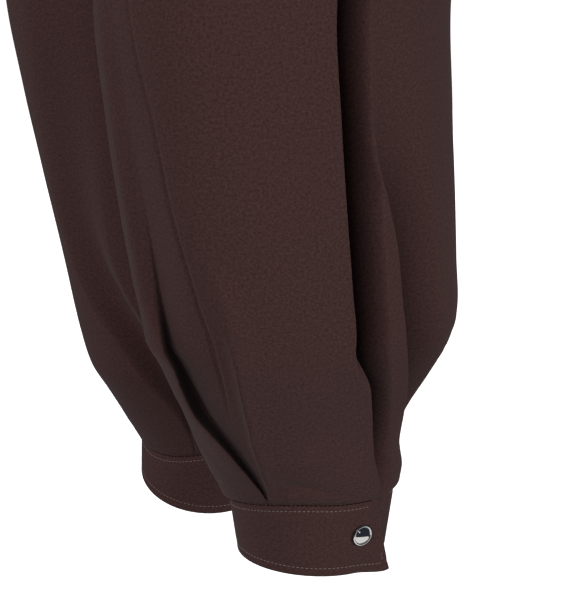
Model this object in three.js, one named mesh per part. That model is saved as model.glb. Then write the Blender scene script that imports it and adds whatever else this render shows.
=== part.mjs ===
// Balloon-leg trousers with pleated ankle cuffs, standing as they hang on a wearer who isn't there.
// Millimetres. The origin is the middle of the waist opening, +Z is up, the front looks along -Y
// and the wearer's left is +X. Azimuths run from the front (0) by the wearer's left (90) to the back (180).
import * as THREE from "three";

// Driving dimensions
const WAISTBAND_WIDTH = 38;
const WAISTBAND_WALL = 2.4;
const CLOTH_WALL = 1.4;
const CUFF_WIDTH = 46.5;
const CUFF_WALL = 2.2;
const CUFF_TOP_RADIUS = 48;
const CUFF_BOTTOM_RADIUS = 41.3;
const CROTCH_Z = -290;
const CROTCH_BLEND = 100;
const CROTCH_REACH = 0.55;
const HIP_BLEND_FROM = -360;
const HIP_BLEND_TO = -150;
const LEG_BOTTOM_Z = -957;
const SEAM_GAP = 0.3;
const LAP_GAP = 0.5;
const SNAP_DIAMETER = 12.2;
const SNAP_HEIGHT = 2.6;

// Where the inseam lies on a leg, and the centre front and back on the body
const INSEAM_AZIMUTH = -90;
const FULL_TURN = 360;

const CLOTH_BROWN = 0x3f2c2b;
const SNAP_STEEL = 0x8f8d8c;

// A short table with named columns, one row for each level, highest level first.
function table(columns, rows) {
  return rows.map((row) => Object.fromEntries(columns.map((name, i) => [name, row[i]])));
}

const BODY_SECTIONS = table(
  ["z", "side", "front", "back"],
  [
    [0, 130, 102, 106],
    [-38, 135, 105, 112],
    [-100, 157, 113, 134],
    [-160, 172, 119, 149],
    [-200, 178, 122, 153],
    [-245, 182, 123, 151],
    [-290, 184, 122, 146],
  ],
);

const LEG_COLUMNS = ["z", "cx", "cy", "inner", "outer", "front", "back"];

// The left leg stands a little ahead of the right one.
const LEFT_SECTIONS = table(LEG_COLUMNS, [
  [-290, 92, 8, 92, 92, 124, 138],
  [-350, 90, 4, 87, 88, 118, 129],
  [-450, 86, -4, 83, 82, 110, 117],
  [-560, 82, -14, 79, 77, 104, 110],
  [-690, 79, -24, 75, 75, 98, 107],
  [-743, 78, -19, 74, 74.5, 97, 105.5],
  [-797, 77, -12.3, 72.5, 73.5, 95, 103.5],
  [-830, 76, -7, 71.5, 72, 93.5, 101.5],
  [-864, 75, -1.7, 69, 70.5, 91, 98.5],
  [-878, 74, -1.6, 65, 67.5, 82.5, 94],
  [-895, 73, -1.9, 61, 62.5, 73, 81],
  [-912, 72, -1.5, 57, 58, 64, 69.5],
  [-928, 71.5, 0, 54, 55, 57.5, 61.5],
  [-943, 71, 5, 51.5, 53.5, 53.5, 58],
  [-957, 71, 10, 50.3, 50.3, 50.3, 50.3],
]);

const RIGHT_SECTIONS = table(LEG_COLUMNS, [
  [-290, 92, 8, 92, 92, 124, 138],
  [-350, 90, 6, 87, 88, 117, 129],
  [-450, 86, 4, 83, 82, 107, 116],
  [-560, 82, 3, 79, 77, 96, 107],
  [-698, 76, 8, 73, 73, 87, 101],
  [-746, 75, 14.5, 72, 71, 85, 98],
  [-795, 74, 24, 71, 70, 84, 95],
  [-845, 73, 32, 70, 67, 81, 92],
  [-865, 72.5, 34.5, 68, 66, 79.5, 88],
  [-896, 71, 37, 62, 64, 76, 76],
  [-913, 70, 38.5, 58, 60.5, 73, 66],
  [-928, 68.5, 43.5, 55, 58, 67.5, 59],
  [-945, 66.6, 47.6, 52.5, 55.5, 58.5, 54],
  [-957, 66.1, 48.9, 50.5, 50.8, 50.8, 50.5],
]);

// The side seam's azimuth. Below the slit's top the front edge laps over the back one.
const LEFT_SIDE_SEAM = table(
  ["z", "azimuth"],
  [
    [-290, 90],
    [-450, 85],
    [-560, 82],
    [-690, 81],
    [-808, 81],
    [-862, 80.5],
    [-878, 84],
    [-895, 90],
    [-912, 95.5],
    [-928, 99.5],
    [-943, 101.5],
    [-957, 103],
  ],
);

const FOLD_COLUMNS = ["z", "azimuth", "depth", "before", "after", "lean"];

// Each fold is a trough that runs down the leg: its azimuth, its depth, how many degrees its walls
// take on the lower and the higher azimuth side, and how far its lower lip leans over it.
const LEFT_FOLDS = {
  pleat: table(FOLD_COLUMNS, [
    [-560, -4, 0, 20, 24, 0],
    [-650, -1, 2, 18, 24, 0],
    [-721, 1, 4, 15, 24, 0],
    [-782, 2, 7, 12, 24, 1],
    [-821, 1, 11, 10, 25, 2],
    [-850, 1, 14, 8, 25, 3],
    [-864, 4, 16, 7, 24, 4],
    [-882, 5, 17, 7, 23, 4],
    [-898, 4, 16, 7, 24, 4],
    [-912, 9, 13, 7, 19, 4],
    [-928, 18, 9.5, 7, 12, 3],
    [-943, 22.5, 5.5, 6, 7, 2],
    [-957, 23.5, 0, 5, 5, 0],
  ]),
  side: table(FOLD_COLUMNS, [
    [-400, 86.5, 0, 10, 26, 0],
    [-470, 84.5, 8, 9, 24, 0],
    [-560, 82, 19, 7, 22, 1],
    [-690, 81, 32, 6, 21, 2],
    [-808, 81, 34, 6, 20, 2],
    [-862, 80.5, 30, 6, 20, 2],
    [-878, 84, 26, 6, 19, 2],
    [-895, 90, 20, 6, 18, 1],
    [-912, 95.5, 14, 6, 18, 1],
    [-928, 99.5, 9, 6, 18, 0],
    [-943, 101.5, 5, 6, 18, 0],
    [-957, 103, 2.4, 6, 18, 0],
  ]),
  calf: table(FOLD_COLUMNS, [
    [-620, 98, 0, 14, 24, 0],
    [-707, 99, 4, 12, 24, 0],
    [-757, 101, 10, 11, 24, 0],
    [-786, 104, 14, 10, 24, 1],
    [-815, 106, 19, 8, 24, 1],
    [-840, 105, 24, 7, 24, 2],
    [-872, 107, 27, 7, 24, 2],
    [-900, 118, 21, 7, 23, 2],
    [-925, 126, 10, 8, 22, 1],
    [-957, 130, 0, 9, 20, 0],
  ]),
};

const RIGHT_FOLDS = {
  pleat: table(FOLD_COLUMNS, [
    [-600, -20, 0, 22, 20, 0],
    [-720, -24, 4, 20, 18, 0],
    [-831, -28, 12, 16, 16, 0],
    [-878, -32, 20, 12, 14, 0],
    [-912, -37, 15, 11, 12, 0],
    [-943, -42, 5, 9, 9, 0],
    [-957, -43, 0, 8, 8, 0],
  ]),
  side: LEFT_FOLDS.side,
  calf: table(FOLD_COLUMNS, [
    [-620, 106, 0, 14, 24, 0],
    [-707, 108, 3, 12, 24, 0],
    [-786, 114, 9, 12, 24, 0],
    [-850, 120, 14, 11, 24, 0],
    [-885, 126, 10, 11, 24, 0],
    [-910, 130, 4, 11, 22, 0],
    [-930, 132, 0, 11, 20, 0],
  ]),
};

// A cuff's rings, how far its lowest side drops, and where the leg's cloth blouses down over it
const LEFT_CUFF = {
  top: [71, 10],
  bottom: [71, 10],
  bottomZ: -999.5,
  drop: 2.2,
  dropAzimuth: 140,
  blouse: 13.5,
  blouseAzimuth: -65,
  blouseTurn: 120,
};

const RIGHT_CUFF = {
  top: [66.1, 48.9],
  bottom: [71.2, 42.8],
  bottomZ: -995.3,
  drop: 14.5,
  dropAzimuth: -60,
  blouse: 16,
  blouseAzimuth: 22,
  blouseTurn: 90,
};

const LEFT_LEG = {
  name: "left",
  mirror: 1,
  sections: LEFT_SECTIONS,
  folds: LEFT_FOLDS,
  cuff: LEFT_CUFF,
};

const RIGHT_LEG = {
  name: "right",
  mirror: -1,
  sections: RIGHT_SECTIONS,
  folds: RIGHT_FOLDS,
  cuff: RIGHT_CUFF,
};

// Where a leg's rows start to follow the cuff's top edge, and how much cloth covers that edge
const CUFF_FOLLOW_Z = -880;
const HEM_COVER = 1.5;

// Where the slit in the side seam starts to open, and where it is open
const SLIT_CLOSED_Z = -868;
const SLIT_OPEN_Z = -892;

// Cuff strip: the under end starts below the over end, and the strip steps outward between them
const CUFF_OVER_END = 102;
const CUFF_OVER_SLANT = 16;
const CUFF_UNDER_LAP = 30;
const CUFF_STEP_TURN = 24;
const CUFF_FLARE = 6.9;
const CUFF_FLARE_TURN = 32;
const CUFF_CORNER_DROP = 2;
const SNAP_AZIMUTH = 88.6;
const SNAP_DROP = 0.485;

const WAIST_OVER_END = -14;
const WAIST_UNDER_LAP = 15;
const WAIST_STEP_TURN = 10;
const WAIST_SNAP_AZIMUTH = -8;

const WAIST_ROWS = [-70, -110, -150, -190];
const CROTCH_ROWS = [0.7, 0.45, 0.26, 0.14, 0.06, 0.02, 0];
const LEG_ROWS = [
  -320, -370, -430, -500, -570, -640, -700, -750, -795, -830, -850, -864, -878, -893, -908, -922, -936, -948,
];

// Half the steps over which a cloth's normal is measured
const NORMAL_SHARE = 0.004;
const NORMAL_LEVEL = 0.5;

const FRONT_COLUMNS = { beforeFold: 9, afterFold: 12 };
const BACK_COLUMNS = { beforeFold: 6, afterFold: 13 };

const radians = THREE.MathUtils.degToRad;
const clamp = THREE.MathUtils.clamp;
const lerp = THREE.MathUtils.lerp;

// The slope at row i of a table column, limited so that the curve never passes a row's value.
function slopeAt(rows, i, name) {
  if (i === 0 || i === rows.length - 1) return 0;
  const above = (rows[i][name] - rows[i - 1][name]) / (rows[i].z - rows[i - 1].z);
  const below = (rows[i + 1][name] - rows[i][name]) / (rows[i + 1].z - rows[i].z);
  return above * below <= 0 ? 0 : (2 * above * below) / (above + below);
}

// One table column at a level, on a smooth curve through the rows.
function valueAt(rows, z, name) {
  const last = rows.length - 1;
  if (z >= rows[0].z) return rows[0][name];
  if (z <= rows[last].z) return rows[last][name];
  const i = rows.findIndex((row, k) => k < last && z <= row.z && z >= rows[k + 1].z);
  const [a, b] = [rows[i], rows[i + 1]];
  const span = b.z - a.z;
  const t = (z - a.z) / span;
  const s = 1 - t;
  const ends = s * s * (1 + 2 * t) * a[name] + t * t * (3 - 2 * t) * b[name];
  const bends = t * s * s * slopeAt(rows, i, name) - t * t * s * slopeAt(rows, i + 1, name);
  return ends + bends * span;
}

// Eases from 0 to 1 as t does, level at both ends.
function ease(t) {
  const s = clamp(t, 0, 1);
  return s * s * (3 - 2 * s);
}

// A soft bump: 1 at 0, 0 from -1 and 1 outward.
function bump(u) {
  return Math.abs(u) < 1 ? (1 - u * u) ** 2 : 0;
}

function direction(azimuth) {
  return [Math.sin(radians(azimuth)), -Math.cos(radians(azimuth))];
}

// How far a quarter-ellipse ring reaches at an azimuth.
function ringRadius(azimuth, inner, outer, front, back) {
  const [x, y] = direction(azimuth);
  return 1 / Math.hypot(x / (x > 0 ? outer : inner), y / (y < 0 ? front : back));
}

// How much of the side fold the front panel keeps: all of it above the slit, none beside it.
function slitShare(z) {
  return ease((z - SLIT_OPEN_Z) / (SLIT_CLOSED_Z - SLIT_OPEN_Z));
}

// A point of the outer cloth of a leg, before mirroring.
function legPoint(leg, panel, azimuth, z) {
  const at = (name) => valueAt(leg.sections, z, name);
  let radius = ringRadius(azimuth, at("inner"), at("outer"), at("front"), at("back"));
  let shift = 0;
  for (const [name, rows] of Object.entries(leg.folds)) {
    const fold = (column) => valueAt(rows, z, column);
    let turn = azimuth - fold("azimuth");
    if (turn > FULL_TURN / 2) turn -= FULL_TURN;
    const share = name === "side" && panel === "front" ? slitShare(z) : 1;
    radius -= share * fold("depth") * bump(turn / (turn < 0 ? fold("before") : fold("after")));
    shift += share * fold("lean") * bump(turn / fold("before") + 0.9);
  }
  const [x, y] = direction(azimuth);
  return [at("cx") + radius * x - shift * y, at("cy") + radius * y + shift * x];
}

function bodyPoint(azimuth, z) {
  const at = (name) => valueAt(BODY_SECTIONS, z, name);
  const radius = ringRadius(azimuth, at("side"), at("side"), at("front"), at("back"));
  const [x, y] = direction(azimuth);
  return [radius * x, radius * y];
}

// How much a point belongs to the body rather than to a leg. At the inner edge it follows a quarter
// circle above the crotch; toward the side seam it eases in over a longer height.
function bodyShare(share, z) {
  const t = clamp((z - CROTCH_Z) / CROTCH_BLEND, 0, 1);
  const crotch = Math.sqrt(1 - (1 - t) ** 2);
  const hip = ease((z - HIP_BLEND_FROM) / (HIP_BLEND_TO - HIP_BLEND_FROM));
  return lerp(hip, crotch, (1 - clamp(share / CROTCH_REACH, 0, 1)) ** 3);
}

// The level of a cuff's bottom edge at an azimuth.
function cuffBottom(cuff, azimuth) {
  return cuff.bottomZ - cuff.drop * Math.cos(radians(azimuth - cuff.dropAzimuth));
}

// The level of a leg's hem at an azimuth: it covers the cuff's top edge, and blouses down on one side.
function hemLevel(cuff, azimuth) {
  let turn = azimuth - cuff.blouseAzimuth;
  if (turn > FULL_TURN / 2) turn -= FULL_TURN;
  return cuffBottom(cuff, azimuth) + CUFF_WIDTH - HEM_COVER - cuff.blouse * bump(turn / cuff.blouseTurn);
}

// A point of a panel's outer cloth: share runs from the inner edge (0) to the side seam (1).
function panelPoint(leg, panel, share, level) {
  const seam = valueAt(LEFT_SIDE_SEAM, level, "azimuth");
  const inner = panel === "front" ? INSEAM_AZIMUTH : INSEAM_AZIMUTH + FULL_TURN;
  const azimuth = lerp(inner, seam, share);
  const [legX, legY] = legPoint(leg, panel, azimuth, level);
  const middle = panel === "front" ? 0 : FULL_TURN / 2;
  const [bodyX, bodyY] = bodyPoint(lerp(middle, FULL_TURN / 4, share), level);
  const body = bodyShare(share, level);
  const follow = clamp((CUFF_FOLLOW_Z - level) / (CUFF_FOLLOW_Z - LEG_BOTTOM_Z), 0, 1) ** 2;
  const z = level + follow * (hemLevel(leg.cuff, azimuth) - LEG_BOTTOM_Z);
  return new THREE.Vector3(lerp(legX, bodyX, body), lerp(legY, bodyY, body), z);
}

// Shares of a panel's columns at a level: they crowd toward its main fold.
function columnShares(leg, panel, level) {
  const seam = valueAt(LEFT_SIDE_SEAM, level, "azimuth");
  const inner = panel === "front" ? INSEAM_AZIMUTH : INSEAM_AZIMUTH + FULL_TURN;
  const rows = panel === "front" ? leg.folds.pleat : leg.folds.calf;
  const fold = (valueAt(rows, level, "azimuth") - inner) / (seam - inner);
  const { beforeFold, afterFold } = panel === "front" ? FRONT_COLUMNS : BACK_COLUMNS;
  const [wide, narrow] = panel === "front" ? [beforeFold, afterFold] : [afterFold, beforeFold];
  const shares = [];
  for (let i = 0; i < wide; i++) shares.push(fold * Math.sin((Math.PI / 2) * (i / wide)));
  for (let i = 0; i <= narrow; i++) shares.push(lerp(fold, 1, (1 - Math.cos(Math.PI * (i / narrow))) / 2));
  return shares;
}

function panelLevels() {
  const crotch = CROTCH_ROWS.map((t) => CROTCH_Z + t * CROTCH_BLEND);
  const top = -WAISTBAND_WIDTH - SEAM_GAP;
  return [top, ...WAIST_ROWS, ...crotch, ...LEG_ROWS, LEG_BOTTOM_Z];
}

// A closed wall between two grids of points of the same size, the outer and the inner face.
function wallGeometry(outer, inner, turned) {
  const rows = outer.length;
  const columns = outer[0].length;
  const points = [...outer.flat(), ...inner.flat()];
  const index = [];
  const out = (j, i) => j * columns + i;
  const inn = (j, i) => rows * columns + j * columns + i;
  const quad = (a, b, c, d) => (turned ? index.push(a, c, b, a, d, c) : index.push(a, b, c, a, c, d));
  for (let j = 0; j < rows - 1; j++) {
    for (let i = 0; i < columns - 1; i++) {
      quad(out(j, i), out(j + 1, i), out(j + 1, i + 1), out(j, i + 1));
      quad(inn(j, i), inn(j, i + 1), inn(j + 1, i + 1), inn(j + 1, i));
    }
    quad(out(j, 0), inn(j, 0), inn(j + 1, 0), out(j + 1, 0));
    quad(out(j, columns - 1), out(j + 1, columns - 1), inn(j + 1, columns - 1), inn(j, columns - 1));
  }
  for (let i = 0; i < columns - 1; i++) {
    quad(out(0, i), out(0, i + 1), inn(0, i + 1), inn(0, i));
    quad(out(rows - 1, i), inn(rows - 1, i), inn(rows - 1, i + 1), out(rows - 1, i + 1));
  }
  const geometry = new THREE.BufferGeometry().setFromPoints(points);
  geometry.setIndex(index);
  return geometry;
}

// The inward normal of a panel's cloth, before mirroring.
function panelInward(leg, panel, share, level) {
  const across = panelPoint(leg, panel, share + NORMAL_SHARE, level);
  across.sub(panelPoint(leg, panel, share - NORMAL_SHARE, level));
  const down = panelPoint(leg, panel, share, level - NORMAL_LEVEL);
  down.sub(panelPoint(leg, panel, share, level + NORMAL_LEVEL));
  return across.cross(down).multiplyScalar(panel === "front" ? 1 : -1).normalize();
}

// Moves the two edge columns of a grid in by half the seam gap.
function openSeams(grid) {
  const half = SEAM_GAP / 2;
  for (const row of grid) {
    const last = row.length - 1;
    row[0].lerp(row[1], half / row[0].distanceTo(row[1]));
    row[last].lerp(row[last - 1], half / row[last].distanceTo(row[last - 1]));
    for (const point of row) point.x = Math.max(point.x, half);
  }
}

function mirrored(grid, mirror) {
  return grid.map((row) => row.map((point) => new THREE.Vector3(mirror * point.x, point.y, point.z)));
}

function panel(leg, side, material) {
  const levels = panelLevels();
  const shares = levels.map((level) => columnShares(leg, side, level));
  const outer = levels.map((level, j) => shares[j].map((share) => panelPoint(leg, side, share, level)));
  const inner = outer.map((row, j) =>
    row.map((point, i) => {
      const inward = panelInward(leg, side, shares[j][i], levels[j]);
      if (j === 0 || j === levels.length - 1) inward.setZ(0).normalize();
      return point.clone().addScaledVector(inward, CLOTH_WALL);
    }),
  );
  openSeams(outer);
  openSeams(inner);
  const turned = (side === "front") !== (leg.mirror === 1);
  const geometry = wallGeometry(mirrored(outer, leg.mirror), mirrored(inner, leg.mirror), turned);
  const mesh = new THREE.Mesh(geometry, material);
  mesh.name = `${side}_${leg.name}`;
  return mesh;
}

// A band that goes once round and laps over its own start: radiusAt gives a point's place from its
// azimuth and its share of the way down.
function bandGeometry(placeAt, start, end, steps, wall, mirror) {
  const downs = [0, 1 / 3, 2 / 3, 1];
  const grid = (inward) =>
    downs.map((down) =>
      Array.from({ length: steps + 1 }, (_, i) => placeAt(lerp(start(down), end(down), i / steps), down, inward)),
    );
  return wallGeometry(grid(0), grid(wall), mirror === -1);
}

// A point of a cuff's strip, which runs from its under end to its over end and steps outward between.
function cuffPoint(leg, azimuth, down, inward) {
  const { top, bottom } = leg.cuff;
  const start = CUFF_OVER_END - CUFF_UNDER_LAP;
  const over = ease((azimuth - start - CUFF_UNDER_LAP - CUFF_OVER_SLANT) / CUFF_STEP_TURN);
  const lapEnd = CUFF_OVER_END + FULL_TURN + CUFF_OVER_SLANT * down;
  const corner = ease((azimuth - lapEnd) / CUFF_FLARE_TURN + 1) * down * down;
  const cone = lerp(CUFF_TOP_RADIUS, CUFF_BOTTOM_RADIUS, down) + CUFF_FLARE * corner;
  const radius = cone - (1 - over) * (CUFF_WALL + LAP_GAP) - inward;
  const [x, y] = direction(azimuth);
  const centre = [lerp(top[0], bottom[0], down), lerp(top[1], bottom[1], down)];
  const z = cuffBottom(leg.cuff, azimuth) + (1 - down) * CUFF_WIDTH - CUFF_CORNER_DROP * corner;
  return new THREE.Vector3(leg.mirror * (centre[0] + radius * x), centre[1] + radius * y, z);
}

function cuff(leg, material) {
  const start = () => CUFF_OVER_END - CUFF_UNDER_LAP;
  const end = (down) => CUFF_OVER_END + FULL_TURN + CUFF_OVER_SLANT * down;
  const place = (azimuth, down, inward) => cuffPoint(leg, azimuth, down, inward);
  const mesh = new THREE.Mesh(bandGeometry(place, start, end, 58, CUFF_WALL, leg.mirror), material);
  mesh.name = `cuff_${leg.name}`;
  return mesh;
}

function waistPoint(azimuth, down, inward) {
  const start = WAIST_OVER_END - WAIST_UNDER_LAP;
  const over = ease((azimuth - start - WAIST_UNDER_LAP) / WAIST_STEP_TURN);
  const z = -down * WAISTBAND_WIDTH;
  const at = (name) => valueAt(BODY_SECTIONS, z, name);
  const ring = ringRadius(azimuth, at("side"), at("side"), at("front"), at("back"));
  const radius = ring - (1 - over) * (WAISTBAND_WALL + LAP_GAP) - inward;
  const [x, y] = direction(azimuth);
  return new THREE.Vector3(radius * x, radius * y, z);
}

function waistband(material) {
  const start = () => WAIST_OVER_END - WAIST_UNDER_LAP;
  const end = () => WAIST_OVER_END + FULL_TURN;
  const mesh = new THREE.Mesh(bandGeometry(waistPoint, start, end, 52, WAISTBAND_WALL, 1), material);
  mesh.name = "waistband";
  return mesh;
}

// A domed snap cap with a rolled rim, its back flat, turned from one profile.
function snapCap(name, point, outward, material) {
  const radius = SNAP_DIAMETER / 2;
  const profile = [
    [0, 0],
    [radius - 0.6, 0],
    [radius, 0.6],
    [radius, 1.2],
    [radius - 0.5, 1.7],
    [radius - 1.1, 1.8],
    [radius * 0.6, SNAP_HEIGHT - 0.3],
    [0, SNAP_HEIGHT],
  ].map(([r, height]) => new THREE.Vector2(r, height));
  const mesh = new THREE.Mesh(new THREE.LatheGeometry(profile, 20), material);
  mesh.position.copy(point).addScaledVector(outward, SEAM_GAP);
  mesh.quaternion.setFromUnitVectors(new THREE.Vector3(0, 1, 0), outward);
  mesh.name = name;
  return mesh;
}

// A band's outward normal at one of its points.
function bandNormal(placeAt, azimuth, down, mirror) {
  const along = placeAt(azimuth + 1, down, 0).sub(placeAt(azimuth - 1, down, 0));
  const drop = placeAt(azimuth, down + 0.1, 0).sub(placeAt(azimuth, down - 0.1, 0));
  return drop.cross(along).multiplyScalar(mirror).normalize();
}

function cuffSnap(leg, material) {
  const place = (azimuth, down, inward) => cuffPoint(leg, azimuth, down, inward);
  const azimuth = SNAP_AZIMUTH + FULL_TURN;
  const outward = bandNormal(place, azimuth, SNAP_DROP, leg.mirror);
  return snapCap(`cuff_snap_${leg.name}`, place(azimuth, SNAP_DROP, 0), outward, material);
}

function waistSnap(material) {
  const azimuth = WAIST_SNAP_AZIMUTH + FULL_TURN - WAIST_UNDER_LAP / 2;
  const outward = bandNormal(waistPoint, azimuth, 0.5, 1);
  return snapCap("waist_snap", waistPoint(azimuth, 0.5, 0), outward, material);
}

const cloth = new THREE.MeshStandardMaterial({ color: CLOTH_BROWN, roughness: 0.85, metalness: 0 });
const steel = new THREE.MeshStandardMaterial({ color: SNAP_STEEL, roughness: 0.15, metalness: 1 });

const trousers = new THREE.Group();
trousers.add(waistband(cloth), waistSnap(steel));
for (const leg of [LEFT_LEG, RIGHT_LEG]) {
  trousers.add(panel(leg, "front", cloth), panel(leg, "back", cloth), cuff(leg, cloth), cuffSnap(leg, steel));
}

export default trousers;
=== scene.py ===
"""Looks of balloon-leg trousers with pleated snap cuffs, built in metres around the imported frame."""

import logging
import math
from collections.abc import Callable
from dataclasses import dataclass
from enum import Enum

import bmesh
import bpy
import numpy as np
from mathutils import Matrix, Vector


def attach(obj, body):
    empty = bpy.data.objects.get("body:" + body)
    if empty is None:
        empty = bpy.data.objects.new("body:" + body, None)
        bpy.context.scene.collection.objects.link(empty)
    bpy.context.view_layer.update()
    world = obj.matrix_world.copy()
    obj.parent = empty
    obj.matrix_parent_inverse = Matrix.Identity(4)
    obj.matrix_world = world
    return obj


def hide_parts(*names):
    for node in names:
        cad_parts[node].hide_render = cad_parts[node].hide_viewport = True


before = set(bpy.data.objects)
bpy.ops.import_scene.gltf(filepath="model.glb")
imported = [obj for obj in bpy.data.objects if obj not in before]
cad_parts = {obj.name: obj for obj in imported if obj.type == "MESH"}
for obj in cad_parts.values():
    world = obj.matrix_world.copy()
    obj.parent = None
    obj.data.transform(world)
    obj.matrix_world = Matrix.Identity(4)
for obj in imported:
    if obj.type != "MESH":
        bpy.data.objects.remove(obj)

LOG = logging.getLogger("trousers")
CUT_MAP = "cut"
MM = 0.001
FULL_TURN = 360.0
WELD_DISTANCE = 1e-7
RIM_ROWS = 5
TUCK_STRETCHES = (1, 2)
PATH_STEPS = (0.1, 0.002)

WAISTBAND_WIDTH = 38.0
WAISTBAND_WALL = 2.4
CLOTH_WALL = 1.4
CUFF_WIDTH = 46.5
CUFF_WALL = 2.2
LAP_GAP = 0.5
SEAM_GAP = 0.3
LEG_BOTTOM = -957.0
CROTCH_LEVEL = -290.0
OUTER_AZIMUTH = 90.0
PANEL_TOP = -WAISTBAND_WIDTH - SEAM_GAP


class Side(Enum):
    """Which half of a leg a panel covers."""

    FRONT = "front"
    BACK = "back"

    @property
    def inner(self) -> float:
        """Gives the azimuth of the half's seam between the legs."""
        return -90.0 if self is Side.FRONT else 270.0

    @property
    def middle(self) -> float:
        """Gives the azimuth of the half's middle."""
        return 0.0 if self is Side.FRONT else 180.0


def ease(t: np.ndarray) -> np.ndarray:
    """Eases from 0 to 1, level at both ends."""
    s = np.clip(t, 0.0, 1.0)
    return s * s * (3.0 - 2.0 * s)


def bump(u: np.ndarray) -> np.ndarray:
    """Gives a soft bump that is 1 at 0 and 0 from -1 and 1 outward."""
    return np.clip(1.0 - np.square(u), 0.0, None) ** 2


def turn_from(azimuth: np.ndarray, centre: np.ndarray) -> np.ndarray:
    """Measures the shorter turn from one azimuth to others."""
    return (azimuth - centre + FULL_TURN / 2) % FULL_TURN - FULL_TURN / 2


def radial(azimuth: np.ndarray) -> tuple[np.ndarray, np.ndarray]:
    """Gives the direction outward at an azimuth."""
    turn = np.radians(azimuth)
    return np.sin(turn), -np.cos(turn)


def ring_radius(
    azimuth: np.ndarray, inner: np.ndarray, outer: np.ndarray, front: np.ndarray, back: np.ndarray
) -> np.ndarray:
    """Measures a ring made of four quarter ellipses."""
    x, y = radial(azimuth)
    return 1.0 / np.hypot(x / np.where(x > 0, outer, inner), y / np.where(y < 0, front, back))


@dataclass(frozen=True)
class Curve:
    """Columns of a short table over levels, on curves that never pass a row's value."""

    rows: tuple[tuple[float, ...], ...]

    def at(self, level: np.ndarray) -> list[np.ndarray]:
        """Reads every column at some levels.

        Args:
            level: Levels in millimetres.
        Returns:
            One array per column after the first.
        """
        table = np.array(self.rows, dtype=float)
        z = table[:, 0]
        level = np.asarray(level, dtype=float)
        i = np.clip(np.searchsorted(-z, -level, side="right") - 1, 0, len(z) - 2)
        span = z[i + 1] - z[i]
        t = np.clip((level - z[i]) / span, 0.0, 1.0)
        s = 1.0 - t
        columns = []
        for values in table[:, 1:].T:
            steps = np.diff(values) / np.diff(z)
            slopes = np.zeros(len(z))
            both = steps[:-1] * steps[1:]
            total = steps[:-1] + steps[1:]
            safe = np.where(both > 0, total, 1.0)
            slopes[1:-1] = np.where(both > 0, 2.0 * both / safe, 0.0)
            ends = s * s * (1 + 2 * t) * values[i] + t * t * (3 - 2 * t) * values[i + 1]
            bends = t * s * s * slopes[i] - t * t * s * slopes[i + 1]
            columns.append(ends + bends * span)
        return columns


BODY_RINGS = Curve(
    (
        (0, 130, 102, 106),
        (-38, 135, 105, 112),
        (-100, 157, 113, 134),
        (-160, 172, 119, 149),
        (-200, 178, 122, 153),
        (-245, 182, 123, 151),
        (-290, 184, 122, 146),
    )
)

SIDE_SEAM = Curve(
    (
        (-290, 90),
        (-450, 85),
        (-560, 82),
        (-690, 81),
        (-808, 81),
        (-862, 80.5),
        (-878, 84),
        (-895, 90),
        (-912, 95.5),
        (-928, 99),
        (-943, 99.8),
        (-957, 99.8),
    )
)

SIDE_FOLD = Curve(
    (
        (-400, 86.5, 0, 10, 22, 0),
        (-470, 84.5, 8, 9, 18, 0),
        (-560, 82, 19, 7, 15, 1),
        (-690, 81, 32, 7, 13, 2),
        (-808, 81, 34, 7.5, 12.5, 2),
        (-862, 80.5, 30, 7.5, 12.5, 2),
        (-878, 84, 30, 6.5, 13, 2),
        (-895, 90, 30, 6, 14.5, 1),
        (-912, 95.5, 25, 6, 15.5, 1),
        (-928, 99, 15, 6, 16.5, 0),
        (-943, 99.8, 6, 6, 16, 0),
        (-957, 99.8, 0.6, 6, 16, 0),
    )
)

LEFT_RINGS = Curve(
    (
        (-290, 92, 8, 92, 92, 124, 138),
        (-350, 90, 4, 87, 88, 118, 129),
        (-450, 86, -4, 83, 82, 110, 117),
        (-560, 82, -14, 79, 77, 104, 110),
        (-690, 79, -24, 75, 75, 98, 107),
        (-743, 78, -19, 74, 74.5, 97, 105.5),
        (-797, 77, -12.3, 72.5, 73.5, 95, 103.5),
        (-830, 76, -7, 71.5, 72, 93.5, 101.5),
        (-864, 75, -1.7, 69, 70.5, 91, 98.5),
        (-878, 74, -1.6, 65, 67.5, 82.5, 94),
        (-895, 73, -1.9, 61, 62.5, 73, 81),
        (-912, 72, -1.5, 57, 58, 64, 69.5),
        (-928, 71.5, 0, 54, 55, 57.5, 61.5),
        (-943, 71, 5, 51.5, 53.5, 53.5, 58),
        (-957, 71, 10, 50.3, 50.3, 50.3, 50.3),
    )
)

RIGHT_RINGS = Curve(
    (
        (-290, 92, 8, 92, 92, 124, 138),
        (-350, 90, 6, 87, 88, 117, 129),
        (-450, 86, 4, 83, 82, 107, 116),
        (-560, 82, 3, 79, 77, 96, 107),
        (-698, 76, 8, 73, 73, 87, 101),
        (-746, 75, 14.5, 72, 71, 85, 98),
        (-795, 74, 24, 71, 70, 84, 95),
        (-845, 73, 32, 70, 67, 81, 92),
        (-865, 72.5, 34.5, 68, 66, 79.5, 88),
        (-896, 71, 37, 62, 64, 76, 76),
        (-913, 70, 38.5, 58, 60.5, 73, 66),
        (-928, 68.5, 43.5, 55, 58, 67.5, 59),
        (-945, 66.6, 47.6, 52.5, 55.5, 58.5, 54),
        (-957, 66.1, 48.9, 50.5, 50.8, 50.8, 50.5),
    )
)

NO_FOLD = Curve(((-290, 0, 0, 20, 20, 0), (-957, 0, 0, 20, 20, 0)))

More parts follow.
